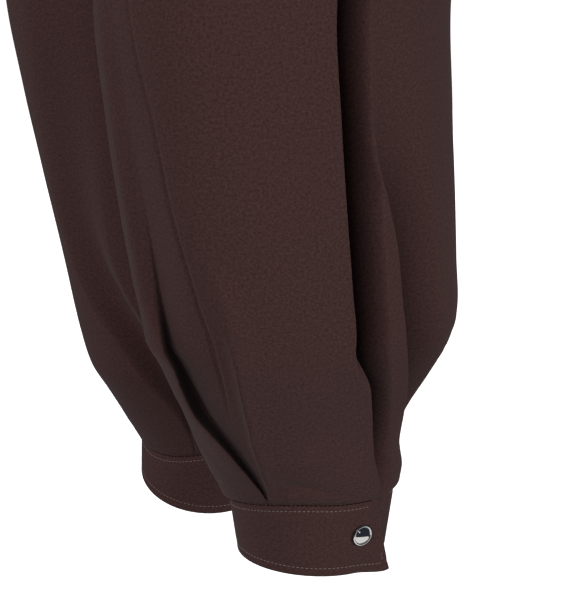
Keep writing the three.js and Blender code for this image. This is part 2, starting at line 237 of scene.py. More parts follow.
LEFT_CALF = Curve(
    (
        (-620, 98, 0, 14, 24, 0),
        (-707, 99, 4, 12, 24, 0),
        (-757, 101, 10, 11, 24, 0),
        (-786, 104, 16, 9, 24, 1.5),
        (-815, 106, 22, 7, 24, 2),
        (-840, 105, 28, 6, 24, 3),
        (-860, 106, 30, 6, 24, 3),
        (-878, 112, 28, 6, 24, 3),
        (-903, 127, 16, 7, 23, 2),
        (-925, 137, 7, 8, 22, 1),
        (-957, 141, 0, 9, 20, 0),
    )
)

RIGHT_PLEAT = Curve(
    (
        (-600, -20, 0, 22, 20, 0),
        (-706, -16, 3, 20, 18, 0),
        (-763, -11, 5, 18, 18, 0),
        (-824, -6, 8, 16, 16, 0),
        (-846, -8, 10, 14, 15, 0),
        (-868, -14, 12, 12, 14, 0),
        (-896, -26, 12, 11, 12, 0),
        (-920, -36, 9, 10, 11, 0),
        (-943, -42, 5, 8, 8, 0),
        (-957, -43, 1.5, 5, 5, 0),
    )
)

RIGHT_CALF = Curve(
    (
        (-620, 106, 0, 14, 24, 0),
        (-707, 108, 3, 12, 24, 0),
        (-786, 114, 9, 12, 24, 0),
        (-850, 120, 14, 11, 24, 0),
        (-885, 126, 10, 11, 24, 0),
        (-910, 130, 4, 11, 22, 0),
        (-930, 132, 0, 11, 20, 0),
    )
)


@dataclass(frozen=True)
class Crease:
    """A fine valley or ridge that runs down a front panel, over what the frame's folds say.

    The path's columns are level, azimuth, height (a valley's is negative), width before and after.
    """

    path: Curve

    def height(self, azimuth: np.ndarray, level: np.ndarray) -> np.ndarray:
        """Measures the crease.

        Args:
            azimuth: Azimuths in degrees.
            level: Levels in millimetres.
        Returns:
            How far the cloth stands out, in millimetres.
        """
        centre, height, before, after = self.path.at(level)
        turn = turn_from(azimuth, centre)
        reach = np.where(turn < 0, before, after)
        return height * np.clip(1.0 - np.abs(turn) / reach, 0.0, None) ** 2


@dataclass(frozen=True)
class Swag:
    """A crease that arcs over a hem."""

    azimuth: float = 45.0
    turn: float = 26.0
    level: float = -944.5
    drop: float = 10.0
    depth: float = 2.6
    upper: float = 3.2
    lower: float = 3.2

    def rise(self, azimuth: np.ndarray, level: np.ndarray) -> np.ndarray:
        """Measures the crease.

        Args:
            azimuth: Azimuths in degrees.
            level: Levels in millimetres.
        Returns:
            How far the cloth stands out, in millimetres.
        """
        across = turn_from(azimuth, self.azimuth) / self.turn
        above = level - self.level + self.drop * np.square(across)
        reach = np.where(above > 0.0, self.upper, self.lower)
        return -self.depth * bump(across) * np.exp(-np.abs(above) / reach)


@dataclass(frozen=True)
class Tuck:
    """A pleat whose upper layer ends in an edge over a pocket that rises again to the panel.

    The path's columns are level, the edge's azimuth, the pocket's azimuth, its depth, its rise's turn
    and the edge's crispness.
    """

    path: Curve
    run: float = 9.0
    weight: float = 7.0
    lift: float = 0.18
    hollow: float = 0.75

    def stations(self, level: np.ndarray) -> tuple[np.ndarray, np.ndarray]:
        """Gives the azimuths between which the tuck leaves the ring."""
        _, pocket, _, rise, _ = self.path.at(level)
        return pocket - self.run, pocket + rise

    def fold(self, t: np.ndarray, level: np.ndarray) -> tuple[np.ndarray, np.ndarray]:
        """Follows the cloth from the roll's start over its edge into the pocket.

        Args:
            t: Shares of the way.
            level: Levels in millimetres.
        Returns:
            Azimuths and depths.
        """
        edge, pocket, depth, _, crisp = self.path.at(level)
        start = pocket - self.run
        a, b, c = (1 - t) ** 2, 2 * self.weight * t * (1 - t), t * t
        total = a + b + c
        sharp = (a * start + b * edge + c * pocket) / total
        azimuth = (1 - crisp) * (start + self.run * t) + crisp * sharp
        return azimuth, depth * ((1 - crisp) * bump(1 - t) + crisp * (c - self.lift * b) / total)

    def rise(self, t: np.ndarray, level: np.ndarray) -> tuple[np.ndarray, np.ndarray]:
        """Follows the cloth from the pocket up to the panel."""
        _, pocket, depth, turn, crisp = self.path.at(level)
        return pocket + turn * t, depth * ((1 - crisp) * bump(t) + crisp * (1 - t) ** self.hollow)


LEFT_TUCK = Tuck(
    Curve(
        (
            (-560, -3, -3, 0, 22, 0),
            (-650, -2, -2, 1.5, 22, 0),
            (-721, -1, -1, 4, 22, 0),
            (-782, -1, -1.5, 6, 22, 0.1),
            (-815, -1, -3, 8, 24, 0.3),
            (-837, -1, -4.5, 9, 27, 0.45),
            (-850, 0, -6, 9.5, 31, 0.6),
            (-864, 1.5, -8.5, 10.5, 36, 0.85),
            (-874, 2.5, -10, 11, 38.5, 1),
            (-884, 1.2, -11.5, 11.5, 40, 1),
            (-898, 0.6, -13, 12.5, 42, 1),
            (-906, 1.6, -12, 12.5, 41.5, 1),
            (-912, 6.1, -7.5, 12.5, 36.5, 1),
            (-921, 12.5, -0.5, 12, 29.5, 1),
            (-932, 18.5, 8, 10.5, 21.5, 1),
            (-944, 21.7, 15.5, 7, 13, 1),
            (-952, 22.6, 20, 3.5, 6, 1),
            (-957, 23, 23, 0, 3, 1),
        )
    )
)


@dataclass(frozen=True)
class CuffShape:
    """Where a cuff's rings lie, how far one side drops, and where the leg blouses over it."""

    top: tuple[float, float]
    bottom: tuple[float, float]
    bottom_level: float
    drop: float
    drop_azimuth: float
    blouse: float
    blouse_azimuth: float
    blouse_turn: float
    top_radius: float = 48.0
    bottom_radius: float = 41.3
    over_end: float = 102.0
    over_slant: float = 16.0
    under_lap: float = 30.0
    step_turn: float = 24.0
    flare: float = 6.9
    flare_turn: float = 32.0
    corner_drop: float = 2.0
    hem_overlap: float = 1.5

    def bottom_at(self, azimuth: np.ndarray) -> np.ndarray:
        """Gives the bottom edge's level."""
        return self.bottom_level - self.drop * np.cos(np.radians(azimuth - self.drop_azimuth))

    def hem_at(self, azimuth: np.ndarray) -> np.ndarray:
        """Gives the level of the leg's hem over the cuff."""
        blouse = self.blouse * bump(turn_from(azimuth, self.blouse_azimuth) / self.blouse_turn)
        return self.bottom_at(azimuth) + CUFF_WIDTH - self.hem_overlap - blouse

    def top_row(self, azimuth: np.ndarray, below: float) -> np.ndarray:
        """Gives a row that stays a distance below the leg's hem."""
        return (self.bottom_at(azimuth) + CUFF_WIDTH - self.hem_at(azimuth) + below) / CUFF_WIDTH

    def point(self, azimuth: np.ndarray, down: np.ndarray) -> np.ndarray:
        """Places the cuff's outer face.

        Args:
            azimuth: Azimuths in degrees along the strip, from its under end.
            down: Shares of the way from the top edge to the bottom one.
        Returns:
            Points in millimetres, before mirroring.
        """
        start = self.over_end - self.under_lap
        over = ease((azimuth - start - self.under_lap - self.over_slant) / self.step_turn)
        lap_end = self.over_end + FULL_TURN + self.over_slant * down
        corner = ease((azimuth - lap_end) / self.flare_turn + 1.0) * down * down
        cone = self.top_radius + (self.bottom_radius - self.top_radius) * down + self.flare * corner
        radius = cone - (1.0 - over) * (CUFF_WALL + LAP_GAP)
        out_x, out_y = radial(azimuth)
        x = self.top[0] + (self.bottom[0] - self.top[0]) * down + radius * out_x
        y = self.top[1] + (self.bottom[1] - self.top[1]) * down + radius * out_y
        z = self.bottom_at(azimuth) + (1.0 - down) * CUFF_WIDTH - self.corner_drop * corner
        return np.stack([x, y, z], axis=-1)


@dataclass(frozen=True)
class Softening:
    """Rounds the bend of a leg's rings above the ankle, away from the silhouettes."""

    reach: float = 34.0
    samples: int = 9
    taper: float = 0.95
    azimuth: float = 42.0
    turn: float = 62.0
    start: float = -790.0
    start_run: float = 30.0
    end: float = -950.0
    end_run: float = 20.0

    def share(self, azimuth: np.ndarray, level: np.ndarray) -> np.ndarray:
        """Gives how much of the rounding is used.

        Args:
            azimuth: Azimuths in degrees.
            level: Levels in millimetres.
        Returns:
            Shares from 0 to 1.
        """
        beside = bump(turn_from(azimuth, self.azimuth) / self.turn)
        below = ease((self.start - level) / self.start_run)
        return beside * below * ease((level - self.end) / self.end_run)

    def radius(self, rings: Curve, azimuth: np.ndarray, level: np.ndarray) -> np.ndarray:
        """Measures a leg's ring with its bend rounded.

        Args:
            rings: The leg's rings.
            azimuth: Azimuths in degrees.
            level: Levels in millimetres.
        Returns:
            Radii in millimetres.
        """
        plain = ring_radius(azimuth, *rings.at(level)[2:])
        steps = np.linspace(-1.0, 1.0, self.samples)
        weights = bump(steps * self.taper)
        rounded = np.zeros_like(plain)
        for step, weight in zip(steps, weights / weights.sum()):
            rounded = rounded + weight * ring_radius(azimuth, *rings.at(level + self.reach * step)[2:])
        return plain + (rounded - plain) * self.share(azimuth, level)


@dataclass(frozen=True)
class SideSeam:
    """The side seam: its front edge is sunk a little, and the slit's upper layer stays out of the fold."""

    depth: float = 1.0
    turn: float = 1.1
    top: float = -420.0
    top_run: float = 60.0
    bottom: float = -885.0
    bottom_run: float = 40.0
    slit_level: float = -888.0
    slit_run: float = 42.0

    def groove(self, azimuth: np.ndarray, level: np.ndarray) -> np.ndarray:
        """Measures how deep the front edge is sunk.

        Args:
            azimuth: Azimuths in degrees.
            level: Levels in millimetres.
        Returns:
            Depths in millimetres.
        """
        past = turn_from(azimuth, SIDE_SEAM.at(level)[0]) / self.turn
        sunk = np.where(past < 0.0, bump(past), 0.0)
        above = ease((level - self.bottom) / self.bottom_run)
        return self.depth * sunk * above * ease((self.top - level) / self.top_run)

    def fold_share(self, side: Side, level: np.ndarray) -> np.ndarray:
        """Gives how far a panel goes into the side fold."""
        return ease((level - self.slit_level) / self.slit_run) if side is Side.FRONT else np.ones_like(level)


@dataclass(frozen=True)
class Hem:
    """A leg's lower edge: it rolls in to the cuff's seam and pillows a little above it."""

    roll: float = 2.6
    drawn_in: float = 1.7
    azimuth: float = 25.0
    turn: float = 75.0
    peak: float = 1.6
    reach: float = 2.4
    pucker: float = 0.25
    waves: tuple[float, float] = (40.0, 29.0)
    wave_start: float = 50.0

    def rise(self, azimuth: np.ndarray, level: np.ndarray) -> np.ndarray:
        """Measures the roll and the pillow.

        Args:
            azimuth: Azimuths in degrees.
            level: Levels in millimetres.
        Returns:
            How far the cloth stands out, in millimetres.
        """
        above = (level - LEG_BOTTOM) / self.roll
        edge = np.sqrt(1.0 - (1.0 - np.clip(above, 0.0, 1.0)) ** 2)
        first = np.sin(np.radians(azimuth * self.waves[0]))
        second = np.sin(np.radians(azimuth * self.waves[1] + self.wave_start))
        pillow = (1.0 + self.pucker * (first + second)) * bump(turn_from(azimuth, self.azimuth) / self.turn)
        return pillow * bump((above - self.peak) / self.reach) - self.drawn_in * (1.0 - edge)


@dataclass(frozen=True)
class LegShape:
    """One leg's cloth: its rings, its folds, its fine creases and its cuff."""

    name: str
    mirror: float
    rings: Curve
    pleat: Curve
    calf: Curve
    cuff: CuffShape
    tuck: Tuck | None = None
    creases: tuple[Crease, ...] = ()
    swag: Swag | None = None
    softening: Softening = Softening()
    seam: SideSeam = SideSeam()
    hem: Hem = Hem()
    lean_start: float = 0.9
    crotch_run: float = 100.0
    crotch_share: float = 0.55
    hip_level: float = -360.0
    hip_run: float = 210.0
    blouse_run: float = 77.0

    def folds(self, side: Side, azimuth: np.ndarray, level: np.ndarray) -> tuple[np.ndarray, np.ndarray]:
        """Measures the main folds.

        Args:
            side: The panel.
            azimuth: Azimuths in degrees.
            level: Levels in millimetres.
        Returns:
            How far the cloth is drawn in and how far it leans sideways, in millimetres.
        """
        inward = np.zeros_like(azimuth)
        sideways = np.zeros_like(azimuth)
        for fold in (self.pleat, SIDE_FOLD, self.calf):
            centre, height, before, after, lean = fold.at(level)
            turn = azimuth - centre
            turn = np.where(turn > FULL_TURN / 2, turn - FULL_TURN, turn)
            share = self.seam.fold_share(side, level) if fold is SIDE_FOLD else 1.0
            inward = inward + share * height * bump(turn / np.where(turn < 0, before, after))
            sideways = sideways + share * lean * bump(turn / before + self.lean_start)
        return inward, sideways

    def leg_point(
        self, side: Side, azimuth: np.ndarray, level: np.ndarray, depth: np.ndarray
    ) -> np.ndarray:
        """Places the leg's outer cloth below the hips.

        Args:
            side: The panel.
            azimuth: Azimuths in degrees.
            level: Levels in millimetres.
            depth: How far the tuck lies inside the ring.
        Returns:
            Points (x, y) in millimetres, before mirroring.
        """
        centre_x, centre_y = self.rings.at(level)[:2]
        inward, sideways = self.folds(side, azimuth, level)
        radius = self.softening.radius(self.rings, azimuth, level) - depth - inward
        radius = radius - self.seam.groove(azimuth, level) + self.hem.rise(azimuth, level)
        if side is Side.FRONT:
            for crease in self.creases:
                radius = radius + crease.height(azimuth, level)
            if self.swag:
                radius = radius + self.swag.rise(azimuth, level)
        x, y = radial(azimuth)
        x, y = radius * x - sideways * y, radius * y + sideways * x
        return np.stack([centre_x + x, centre_y + y], axis=-1)

    def point(
        self, side: Side, azimuth: np.ndarray, level: np.ndarray, depth: np.ndarray
    ) -> np.ndarray:
        """Places a panel's outer cloth.

        Args:
            side: The panel.
            azimuth: Azimuths in degrees.
            level: Levels in millimetres.
            depth: How far the tuck lies inside the ring.
        Returns:
            Points in millimetres, before mirroring.
        """
        share = (azimuth - side.inner) / (SIDE_SEAM.at(level)[0] - side.inner)
        leg = self.leg_point(side, azimuth, level, depth)
        body_azimuth = side.middle + (OUTER_AZIMUTH - side.middle) * share
        flank, front, back = BODY_RINGS.at(level)
        radius = ring_radius(body_azimuth, flank, flank, front, back)
        out_x, out_y = radial(body_azimuth)
        rise = np.clip((level - CROTCH_LEVEL) / self.crotch_run, 0.0, 1.0)
        crotch = np.sqrt(1.0 - (1.0 - rise) ** 2)
        hip = ease((level - self.hip_level) / self.hip_run)
        body = hip + (crotch - hip) * (1.0 - np.clip(share / self.crotch_share, 0.0, 1.0)) ** 3
        follow = np.clip((LEG_BOTTOM + self.blouse_run - level) / self.blouse_run, 0.0, 1.0) ** 2
        x = leg[..., 0] + (radius * out_x - leg[..., 0]) * body
        y = leg[..., 1] + (radius * out_y - leg[..., 1]) * body
        z = level + follow * (self.cuff.hem_at(azimuth) - LEG_BOTTOM)
        return np.stack([x, y, z], axis=-1)


LEFT_CREASES = (
    Crease(
        Curve(
            (
                (-640, 3, 0, 1.4, 2.2),
                (-701, 5.9, -0.8, 1.4, 2.2),
                (-748, 10.4, -1.2, 1.4, 2.2),
                (-787, 12.6, -1.5, 1.4, 2.2),
                (-820, 15.8, -1.8, 1.4, 2.2),
                (-845, 17.7, -2.0, 1.4, 2.2),
                (-861, 18.7, -2.0, 1.4, 2.2),
                (-879, 18.8, -1.8, 1.4, 2.2),
                (-894, 17.8, -1.2, 1.4, 2.2),
                (-906, 16.4, 0, 1.4, 2.2),
            )
        )
    ),
    Crease(
        Curve(
            (
                (-800, 22, 0, 5, 10),
                (-826, 25.3, 1.8, 5, 10),
                (-835, 27, 2.4, 5, 11),
                (-862, 28, 3.4, 6, 12),
                (-878, 28.6, 3.8, 6, 12),
                (-896.5, 29.2, 3.8, 6, 12),
                (-917, 29.8, 3.2, 6, 11),
                (-932.5, 30.2, 2.4, 5, 10),
                (-945, 27.5, 1.4, 4, 9),
                (-957, 25, 0, 3, 8),
            )
        )
    ),
)

LEFT_LEG = LegShape(
    name="left",
    mirror=1.0,
    rings=LEFT_RINGS,
    pleat=NO_FOLD,
    calf=LEFT_CALF,
    cuff=CuffShape((71, 10), (71, 10), -999.5, 2.2, 140, 13.5, -65, 120),
    tuck=LEFT_TUCK,
    creases=LEFT_CREASES,
    swag=Swag(),
)

RIGHT_CREASES = (
    Crease(
        Curve(
            (
                (-922, -36, 0, 1.6, 3),
                (-938, -36.4, -1.8, 1.6, 3),
                (-957, -36.8, -1.2, 1.6, 3),
            )
        )
    ),
)

RIGHT_LEG = LegShape(
    name="right",
    mirror=-1.0,
    rings=RIGHT_RINGS,
    pleat=RIGHT_PLEAT,
    calf=RIGHT_CALF,
    cuff=CuffShape((66.1, 48.9), (71.2, 42.8), -995.3, 14.5, -60, 16, 22, 90),
    creases=RIGHT_CREASES,
)


@dataclass(frozen=True)
class ClothFinish:
    """Matte brown cloth: fine grain, a little uneven colour and a soft nap."""

    name: str = "cloth"
    colour: tuple[float, float, float] = (0.072, 0.037, 0.034)
    darker: tuple[float, float, float] = (0.034, 0.0155, 0.0145)
    roughness: float = 0.92
    specular: float = 0.07
    sheen: float = 0.05
    sheen_roughness: float = 0.55
    mottle: tuple[float, float, float] = (650.0, 6.0, 0.75)
    mottle_range: tuple[float, float] = (0.34, 0.66)
    grain: tuple[float, float, float] = (1400.0, 2.0, 0.5)
    relief: float = 0.35
    relief_height: float = 0.0004

    def noise(
        self, tree: bpy.types.NodeTree, place: bpy.types.Node, look: tuple[float, float, float]
    ) -> bpy.types.Node:
        """Adds a noise over the cut of the cloth.

        Args:
            tree: The material's nodes.
            place: The node that gives the place on the cut.
            look: The noise's scale, detail and roughness.
        Returns:
            The noise.
        """
        noise = tree.nodes.new("ShaderNodeTexNoise")
        for socket, value in zip(("Scale", "Detail", "Roughness"), look):
            noise.inputs[socket].default_value = value
        tree.links.new(place.outputs["UV"], noise.inputs["Vector"])
        return noise

    def build(self) -> bpy.types.Material:
        """Makes the material.

        Returns:
            The new material.
        """
        material = bpy.data.materials.new(self.name)
        material.use_nodes = True
        tree = material.node_tree
        shader = tree.nodes["Principled BSDF"]
        shader.inputs["Roughness"].default_value = self.roughness
        shader.inputs["Specular IOR Level"].default_value = self.specular
        shader.inputs["Sheen Weight"].default_value = self.sheen
        shader.inputs["Sheen Roughness"].default_value = self.sheen_roughness
        place = tree.nodes.new("ShaderNodeUVMap")
        place.uv_map = CUT_MAP
        mottle = self.noise(tree, place, self.mottle)
        contrast = tree.nodes.new("ShaderNodeMapRange")
        contrast.inputs["From Min"].default_value = self.mottle_range[0]
        contrast.inputs["From Max"].default_value = self.mottle_range[1]
        mix = tree.nodes.new("ShaderNodeMix")
        mix.data_type = "RGBA"
        mix.inputs["A"].default_value = (*self.darker, 1.0)
        mix.inputs["B"].default_value = (*self.colour, 1.0)
        grain = self.noise(tree, place, self.grain)
        relief = tree.nodes.new("ShaderNodeBump")
        relief.inputs["Strength"].default_value = self.relief
        relief.inputs["Distance"].default_value = self.relief_height
        tree.links.new(mottle.outputs["Fac"], contrast.inputs["Value"])
        tree.links.new(contrast.outputs["Result"], mix.inputs["Factor"])
        tree.links.new(mix.outputs["Result"], shader.inputs["Base Color"])
        tree.links.new(grain.outputs["Fac"], relief.inputs["Height"])
        tree.links.new(relief.outputs["Normal"], shader.inputs["Normal"])
        return material


@dataclass(frozen=True)
class PlainFinish:
    """A finish of one colour: polished metal, thread, a card or the floor."""

    name: str
    colour: tuple[float, float, float]
    roughness: float
    metallic: float = 0.0
    glow: float = 0.0
    specular: float = 0.5

    def build(self) -> bpy.types.Material:
        """Makes the material.

        Returns:
            The new material.
        """
        material = bpy.data.materials.new(self.name)
        material.use_nodes = True
        shader = material.node_tree.nodes["Principled BSDF"]
        shader.inputs["Base Color"].default_value = (*self.colour, 1.0)
        shader.inputs["Roughness"].default_value = self.roughness
        shader.inputs["Metallic"].default_value = self.metallic
        shader.inputs["Specular IOR Level"].default_value = self.specular
        shader.inputs["Emission Color"].default_value = (1.0, 1.0, 1.0, 1.0)
        shader.inputs["Emission Strength"].default_value = self.glow
        return material


THREAD = PlainFinish("thread", (0.17, 0.125, 0.115), 0.6)
# Near-black seam thread: partly the seam's real dark stitches, partly painted shade for the ditch under the
# hem.
SEAM_SHADE_THREAD = PlainFinish("seam_shade_thread", (0.008, 0.005, 0.005), 0.9, specular=0.05)
STEEL = PlainFinish("steel", (0.6, 0.59, 0.58), 0.06, metallic=1.0)


def add_piece(name: str, points: np.ndarray, faces: np.ndarray) -> bpy.types.Object:
    """Makes a piece with smooth faces.

    Args:
        name: The piece's name.
        points: Its points in millimetres.
        faces: Its faces, four points each.
    Returns:
        The new object, in metres.
    """
    mesh = bpy.data.meshes.new(name)
    mesh.from_pydata((points * MM).tolist(), [], faces.tolist())
    mesh.shade_smooth()
    thing = bpy.data.objects.new(name, mesh)
    bpy.context.scene.collection.objects.link(thing)
    return thing


def weld(thing: bpy.types.Object, turn_out: bool = False) -> None:
    """Joins a piece's points that lie in one place.

    Args:
        thing: The piece.
        turn_out: Whether its faces are turned outward too.
    """
    welded = bmesh.new()
    welded.from_mesh(thing.data)
    bmesh.ops.remove_doubles(welded, verts=welded.verts, dist=WELD_DISTANCE)
    if turn_out:
        bmesh.ops.recalc_face_normals(welded, faces=welded.faces)
    welded.to_mesh(thing.data)
    welded.free()


def tube_faces(stations: int, sides: int) -> np.ndarray:
    """Lists the faces of a tube whose points run round one station after the other.

    Args:
        stations: How many stations it has.
        sides: How many points are round each.
    Returns:
        Four point numbers per face.
    """
    j, i = np.meshgrid(np.arange(stations - 1), np.arange(sides), indexing="ij")
    a = (j * sides + i).ravel()
    b = (j * sides + (i + 1) % sides).ravel()
    return np.stack([a, b, b + sides, a + sides], axis=1)


@dataclass
class ShellMesh:
    """A closed wall of cloth over a grid of outer points, its rims rounded."""

    name: str
    outer: np.ndarray
    inward: np.ndarray
    fullness: np.ndarray
    wall: float
    flipped: bool

    def points(self) -> np.ndarray:
        """Lists the points of the outer side and then those of the inner side.

        Returns:
            Points in millimetres.
        """
        half = 0.5 * self.wall * self.inward
        full = self.fullness[..., None]
        outer = self.outer + half * (1.0 - full)
        inner = self.outer + half * (1.0 + full)
        return np.concatenate([outer.reshape(-1, 3), inner.reshape(-1, 3)])

    def faces(self) -> np.ndarray:
        """Lists the faces of both sides.

        Returns:
            Four point numbers per face.
        """
        rows, columns = self.outer.shape[:2]
        j, i = np.meshgrid(np.arange(rows - 1), np.arange(columns - 1), indexing="ij")
        a = (j * columns + i).ravel()
        outer = np.stack([a, a + columns, a + columns + 1, a + 1], axis=1)
        faces = np.concatenate([outer, outer[:, ::-1] + rows * columns])
        return faces[:, ::-1] if self.flipped else faces

    def cut(self) -> np.ndarray:
        """Lays the outer side flat, from its top row and its middle column.

        Returns:
            Places on the cut in metres, one per outer point.
        """
        middle = self.outer.shape[1] // 2
        across = np.linalg.norm(np.diff(self.outer, axis=1), axis=-1)
        across = np.pad(np.cumsum(across, axis=1), ((0, 0), (1, 0)))
        down = np.linalg.norm(np.diff(self.outer, axis=0), axis=-1)
        down = np.pad(np.cumsum(down, axis=0), ((1, 0), (0, 0)))
        return np.stack([across - across[:, middle : middle + 1], -down], axis=-1).reshape(-1, 2) * MM

    def area(self) -> float:
        """Measures the outer side.

        Returns:
            Its area in square metres.
        """
        first = self.outer[1:, 1:] - self.outer[:-1, :-1]
        second = self.outer[:-1, 1:] - self.outer[1:, :-1]
        return 0.5 * float(np.linalg.norm(np.cross(first, second), axis=-1).sum()) * MM * MM

    def build(self) -> bpy.types.Object:
        """Makes the object and logs its cut.

        Returns:
            The new object, with its cut as the UV map.
        """
        faces = self.faces()
        cut = self.cut()
        width, length = np.ptp(cut, axis=0)
        LOG.info("%s: cut %.3f by %.3f m, %.4f m2", self.name, width, length, self.area())
        thing = add_piece(self.name, self.points(), faces)
        layer = thing.data.uv_layers.new(name=CUT_MAP)
        layer.data.foreach_set("uv", np.concatenate([cut, cut])[faces.ravel()].ravel())
        weld(thing)
        return thing


def rim_steps(reach: float) -> np.ndarray:
    """Lists distances from a rim at which a rounded edge is sampled."""
    return reach * (1.0 - np.cos(np.linspace(0.0, math.pi / 2, RIM_ROWS)))


def rim_fullness(distance: np.ndarray, reach: float) -> np.ndarray:
    """Gives how much of the wall stands at a distance from the rim."""
    return np.sqrt(1.0 - (1.0 - np.clip(distance / reach, 0.0, 1.0)) ** 2)


def strip_shares(reach: float, length: float, edge: float, count: int) -> np.ndarray:
    """Spreads shares over a strip's length or width, close together at its rounded ends."""
    ends = rim_steps(reach) / length
    return np.concatenate([ends, np.linspace(edge, 1.0 - edge, count), (1.0 - ends)[::-1]])


def strip_fullness(down: np.ndarray, run: np.ndarray, size: tuple[float, float], reach: float) -> np.ndarray:
    """Gives how much of a strip's wall stands near its edges and ends.

    Args:
        down: Shares of the way down, one per row and column.
        run: Shares of the way along, one per column.
        size: The strip's width and length.
        reach: The rounding's radius.
    Returns:
        Shares of the wall.
    """
    rows = np.minimum(down, 1.0 - down) * size[0]
    sides = np.minimum(run, 1.0 - run)[None, :] * size[1]
    return np.minimum(rim_fullness(rows, reach), rim_fullness(sides, reach))


def grid_normals(points: np.ndarray) -> np.ndarray:
    """Measures the normals of a grid of points.

    Args:
        points: Points, rows by columns.
    Returns:
        Unit vectors across times down.
    """
    across = np.empty_like(points)
    across[:, 1:-1] = points[:, 2:] - points[:, :-2]
    across[:, 0] = points[:, 1] - points[:, 0]
    across[:, -1] = points[:, -1] - points[:, -2]
    down = np.empty_like(points)
    down[1:-1] = points[2:] - points[:-2]
    down[0] = points[1] - points[0]
    down[-1] = points[-1] - points[-2]
    normal = np.cross(across, down)
    return normal / np.linalg.norm(normal, axis=-1, keepdims=True)


@dataclass
class Panel:
    """A front or back panel of one leg, from the waist seam to the hem."""

    leg: LegShape
    side: Side
    reach: float = 0.7
    seam_gap: float = 0.08
    seam_reach: float = 0.1
    turn_radius: float = 80.0
    columns: tuple[int, ...] = (24, 36, 56, 26, 34)
    rows: tuple[int, int, int] = (76, 104, 46)
    row_levels: tuple[float, ...] = (-600.0, -603.0, -915.0, -916.0)
    edge_rows: tuple[float, float] = (2.0, 1.6)
    pleat_stops: tuple[float, float, float] = (-14.0, 4.0, 24.0)
    calf_stops: tuple[float, float, float] = (26.0, 2.0, -10.0)
    seam_stops: tuple[float, float] = (-11.0, 9.0)

    @property
    def name(self) -> str:
        """Names the panel as its node is named."""
        return f"{self.side.value}_{self.leg.name}"

    def levels(self) -> np.ndarray:
        """Lists the levels of the rows, closer together where the folds are fine.

        Returns:
            Levels in millimetres, highest first.
        """
        knee, below_knee, ankle, below_ankle = self.row_levels
        top = PANEL_TOP - rim_steps(self.reach)
        upper = np.linspace(PANEL_TOP - self.edge_rows[0], knee, self.rows[0])
        lower = np.linspace(below_knee, ankle, self.rows[1])
        hem = np.linspace(below_ankle, LEG_BOTTOM + self.edge_rows[1], self.rows[2])
        bottom = (LEG_BOTTOM + rim_steps(self.reach))[::-1]
        return np.concatenate([top, upper, lower, hem, bottom])

    def stops(self, level: np.ndarray) -> list[np.ndarray]:
        """Lists the azimuths between which the columns are spread; a tuck spreads its own two stretches.

        Args:
            level: Levels in millimetres, one row each.
        Returns:
            Azimuths from the inner seam to the side seam.
        """
        inner = np.full_like(level, self.side.inner)
        seam = SIDE_SEAM.at(level)[0]
        if self.side is Side.BACK:
            calf = self.leg.calf.at(level)[0]
            folds = [calf + turn for turn in self.calf_stops]
            last = np.minimum(seam + self.seam_stops[1], (seam + folds[-1]) / 2)
        elif self.leg.tuck:
            start, end = self.leg.tuck.stations(level)
            folds = [start, end, end]
            last = seam + self.seam_stops[0]
        else:
            valley = self.leg.pleat.at(level)[0]
            folds = [valley + turn for turn in self.pleat_stops]
            last = seam + self.seam_stops[0]
        return [inner, *folds, last, seam]

    def stretches(self, level: np.ndarray) -> list[tuple[np.ndarray, np.ndarray]]:
        """Lays the columns out in stretches between the panel's folds.

        Args:
            level: Levels in millimetres, one row each.
        Returns:
            Azimuths and depths of each stretch, its last column shared with the next one's first.
        """
        stops = self.stops(level)
        tuck = self.leg.tuck if self.side is Side.FRONT else None
        found = []
        for k, count in enumerate(self.columns):
            t = (np.arange(count + 1) / count)[None, :]
            if tuck and k == TUCK_STRETCHES[0]:
                found.append(tuck.fold(t, level))
            elif tuck and k == TUCK_STRETCHES[1]:
                found.append(tuck.rise(t, level))
            else:
                azimuth = stops[k] + (stops[k + 1] - stops[k]) * t
                found.append((azimuth, np.zeros_like(azimuth)))
        return found

    def grid(self) -> tuple[np.ndarray, np.ndarray, np.ndarray, np.ndarray]:
        """Spreads the columns over the rows.

        Returns:
            Azimuths, depths, levels and fullness, one value per grid point.
        """
        level = self.levels()[:, None]
        first, *others = self.stretches(level)
        azimuth, depth = (
            np.concatenate([first[k], *(other[k][:, 1:] for other in others)], axis=1) for k in (0, 1)
        )
        turn = np.degrees(1.0 / self.turn_radius) * (1.0 if self.side is Side.FRONT else -1.0)
        rim = turn * (self.seam_gap / 2 + rim_steps(self.seam_reach))
        azimuth = np.concatenate(
            [azimuth[:, :1] + rim, azimuth[:, 1:-1], azimuth[:, -1:] - rim[::-1]], axis=1
        )
        depth = np.pad(depth[:, 1:-1], ((0, 0), (RIM_ROWS, RIM_ROWS)))
        edge = rim_fullness(rim_steps(self.seam_reach), self.seam_reach)
        side = np.concatenate([edge, np.ones(azimuth.shape[1] - 2 * RIM_ROWS), edge[::-1]])
        rows = np.minimum(PANEL_TOP - level, level - LEG_BOTTOM)
        fullness = np.minimum(side[None, :], rim_fullness(rows, self.reach))
        return azimuth, depth, np.broadcast_to(level, azimuth.shape), fullness

    def build(self) -> bpy.types.Object:
        """Makes the panel.

        Returns:
            The new object.
        """
        azimuth, depth, level, fullness = self.grid()
        outer = self.leg.point(self.side, azimuth, level, depth)
        outer[..., 0] = np.maximum(outer[..., 0], self.seam_gap / 2)
        inward = grid_normals(outer)
        outer[..., 0] *= self.leg.mirror
        inward[..., 0] *= self.leg.mirror
        if self.side is Side.BACK:
            inward = -inward
        flipped = (self.side is Side.FRONT) != (self.leg.mirror > 0)
        return ShellMesh(self.name, outer, inward, fullness, CLOTH_WALL, flipped).build()


